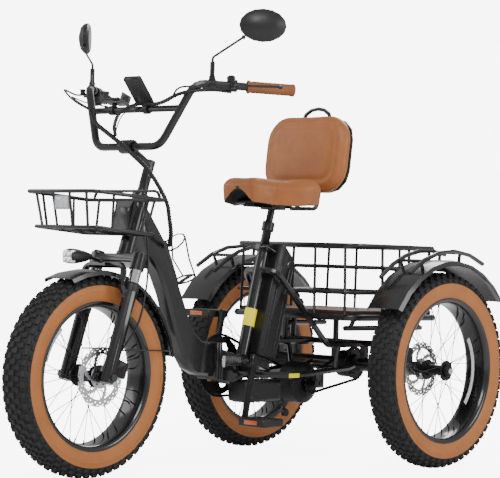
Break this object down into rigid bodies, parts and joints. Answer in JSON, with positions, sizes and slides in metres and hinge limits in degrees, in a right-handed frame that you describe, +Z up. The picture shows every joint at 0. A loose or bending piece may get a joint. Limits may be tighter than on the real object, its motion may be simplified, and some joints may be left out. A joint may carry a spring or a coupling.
{
  "type": "adult tricycle",
  "caption": "Folding adult tricycle with fat tyres, a hub motor and chain drive to the rear axle, a padded seat with backrest, a wire front basket and a railed rear rack.",
  "frame": {"origin": "on the floor under the middle of the whole tricycle, midway between its front and rear ends and its two sides", "axes": "+Z up; +Y towards the rear axle, so the front wheel is at -Y; +X towards the rider's left"},
  "size_m": [0.8692, 1.63, 1.2701],
  "materials": {
    "black_paint": "gloss",
    "black_plastic": "satin",
    "tyre_rubber": "matte",
    "tan_leather": "satin",
    "steel": "satin",
    "deck_wood": "satin",
    "cable_rubber": "matte"
  },
  "bodies": {
    "rear_frame": {"rear_frame": "black_paint", "rear_fender_left": "black_plastic", "rear_fender_right": "black_plastic", "controller_box": "black_plastic", "primary_chain": "steel", "drive_chain": "steel", "derailleur": "black_paint", "axle_carrier": "black_paint", "rack_frame": "black_paint", "rack_deck": "deck_wood"},
    "front_frame": {"front_frame": "black_paint", "front_basket": "black_paint", "bottle_cage": "black_plastic"},
    "steering": {"fork_crown": "black_paint", "handlebar": "black_paint", "stem": "black_paint", "grip_left": "tan_leather", "brake_perch_left": "black_plastic", "mirror_stalk_left": "black_paint", "grip_right": "tan_leather", "brake_perch_right": "black_plastic", "mirror_stalk_right": "black_paint", "display": "black_plastic", "phone_holder": "black_plastic", "cable_bundle": "cable_rubber"},
    "fork_lower": {"fork_lowers": "black_paint", "front_caliper": "black_paint", "front_fender": "black_plastic"},
    "front_wheel": {"front_tyre": "tyre_rubber", "front_rim": "black_paint", "front_hub": "steel", "front_rotor": "steel"},
    "rear_wheel_left": {"rear_tyre_left": "tyre_rubber", "rear_rim_left": "black_paint", "rear_hub_left": "steel", "rear_rotor_left": "steel"},
    "rear_wheel_right": {"rear_tyre_right": "tyre_rubber", "rear_rim_right": "black_paint", "rear_hub_right": "steel", "rear_rotor_right": "steel"},
    "motor": {"motor": "black_paint"},
    "crankset": {"crankset": "black_paint"},
    "pedal_left": {"pedal_left": "black_plastic"},
    "pedal_right": {"pedal_right": "black_plastic"},
    "differential": {"differential": "steel"},
    "brake_lever_left": {"brake_lever_left": "black_paint"},
    "brake_lever_right": {"brake_lever_right": "black_paint"},
    "throttle": {"throttle": "black_plastic"},
    "shift_lever": {"shift_lever": "black_plastic"},
    "mirror_head_left": {"mirror_head_left": "black_plastic"},
    "mirror_head_right": {"mirror_head_right": "black_plastic"},
    "phone_jaw": {"phone_jaw": "steel"},
    "headlight": {"headlight": "black_plastic"},
    "fold_latch": {"fold_latch": "steel"},
    "battery": {"battery": "black_plastic"},
    "seatpost": {"seatpost": "black_paint"},
    "seat_head": {"seat_head": "black_paint", "saddle": "tan_leather", "backrest": "tan_leather", "backrest_bracket": "black_paint"}
  },
  "joints": [
    {"name": "frame_fold", "type": "hinge", "parent": "rear_frame", "child": "front_frame", "pos_m": [-0.0485, -0.0622, 0.307], "axis": [0, 0, -1], "range_deg": [0, 80]},
    {"name": "latch_swing", "type": "hinge", "parent": "rear_frame", "child": "fold_latch", "pos_m": [0.0505, -0.0562, 0.307], "axis": [0, 0, -1], "range_deg": [0, 100]},
    {"name": "steer", "type": "hinge", "parent": "front_frame", "child": "steering", "pos_m": [0, -0.51794, 0.26783], "axis": [0, 0.309, 0.9511], "range_deg": [-45, 45], "deforming": ["cable_bundle"]},
    {"name": "fork_travel", "type": "slide", "parent": "steering", "child": "fork_lower", "axis": [0, 0.309, 0.9511], "range_m": [0, 0.03], "stiffness_N_per_m": 9000, "springref_m": -0.04},
    {"name": "front_wheel_spin", "type": "hinge", "parent": "fork_lower", "child": "front_wheel", "pos_m": [0, -0.54, 0.275], "axis": [1, 0, 0], "continuous": true},
    {"name": "rear_wheel_left_spin", "type": "hinge", "parent": "rear_frame", "child": "rear_wheel_left", "pos_m": [0.3715, 0.526, 0.289], "axis": [1, 0, 0], "continuous": true},
    {"name": "rear_wheel_right_spin", "type": "hinge", "parent": "rear_frame", "child": "rear_wheel_right", "pos_m": [-0.3715, 0.526, 0.289], "axis": [1, 0, 0], "continuous": true},
    {"name": "motor_spin", "type": "hinge", "parent": "rear_frame", "child": "motor", "pos_m": [0, 0.33, 0.235], "axis": [-1, 0, 0], "continuous": true},
    {"name": "crank_spin", "type": "hinge", "parent": "rear_frame", "child": "crankset", "pos_m": [0, 0.04, 0.288], "axis": [-1, 0, 0], "continuous": true},
    {"name": "differential_spin", "type": "hinge", "parent": "rear_frame", "child": "differential", "pos_m": [0, 0.526, 0.289], "axis": [-1, 0, 0], "continuous": true},
    {"name": "pedal_left_spin", "type": "hinge", "parent": "crankset", "child": "pedal_left", "pos_m": [0, 0.011, 0.13879], "axis": [1, 0, 0], "continuous": true},
    {"name": "pedal_right_spin", "type": "hinge", "parent": "crankset", "child": "pedal_right", "pos_m": [0, 0.069, 0.43721], "axis": [1, 0, 0], "continuous": true},
    {"name": "brake_left_squeeze", "type": "hinge", "parent": "steering", "child": "brake_lever_left", "pos_m": [0.29178, -0.31431, 1.06201], "axis": [0, 0, 1], "range_deg": [0, 12], "stiffness_Nm_per_rad": 2, "springref_deg": -11.46},
    {"name": "brake_right_squeeze", "type": "hinge", "parent": "steering", "child": "brake_lever_right", "pos_m": [-0.29178, -0.31431, 1.06201], "axis": [0, 0, -1], "range_deg": [0, 12], "stiffness_Nm_per_rad": 2, "springref_deg": -11.46},
    {"name": "throttle_press", "type": "hinge", "parent": "steering", "child": "throttle", "pos_m": [-0.28167, -0.26852, 1.0624], "axis": [-0.5944, 0.8037, -0.0268], "range_deg": [0, 25], "stiffness_Nm_per_rad": 0.3, "springref_deg": -17.19},
    {"name": "shift_push", "type": "hinge", "parent": "steering", "child": "shift_lever", "pos_m": [-0.25849, -0.28252, 1.02809], "axis": [0.1782, 0.1318, -0.9751], "range_deg": [0, 12], "stiffness_Nm_per_rad": 0.2, "springref_deg": -11.46},
    {"name": "mirror_left_turn", "type": "hinge", "parent": "steering", "child": "mirror_head_left", "pos_m": [0.31032, -0.30074, 1.1905], "axis": [0, 0, 1], "range_deg": [-20, 8]},
    {"name": "mirror_right_turn", "type": "hinge", "parent": "steering", "child": "mirror_head_right", "pos_m": [-0.31032, -0.30074, 1.1905], "axis": [0, 0, 1], "range_deg": [-8, 20]},
    {"name": "phone_jaw_slide", "type": "slide", "parent": "steering", "child": "phone_jaw", "axis": [1, 0, 0], "range_m": [0, 0.02]},
    {"name": "headlight_tilt", "type": "hinge", "parent": "fork_lower", "child": "headlight", "pos_m": [0, -0.50262, 0.58355], "axis": [1, 0, 0], "range_deg": [-15, 8]},
    {"name": "battery_lift", "type": "slide", "parent": "rear_frame", "child": "battery", "axis": [0, 0.2504, 0.9681], "range_m": [0, 0.06]},
    {"name": "seatpost_slide", "type": "slide", "parent": "rear_frame", "child": "seatpost", "axis": [0, 0.2504, 0.9681], "range_m": [-0.04, 0.08]},
    {"name": "seat_bounce", "type": "slide", "parent": "seatpost", "child": "seat_head", "axis": [0, 0.2504, 0.9681], "range_m": [-0.03, 0], "stiffness_N_per_m": 5000, "springref_m": 0.03}
  ],
  "couplings": [
    {"joint": "crank_spin", "follows": "motor_spin", "ratio": 0.40909},
    {"joint": "differential_spin", "follows": "motor_spin", "ratio": 0.58333}
  ]
}
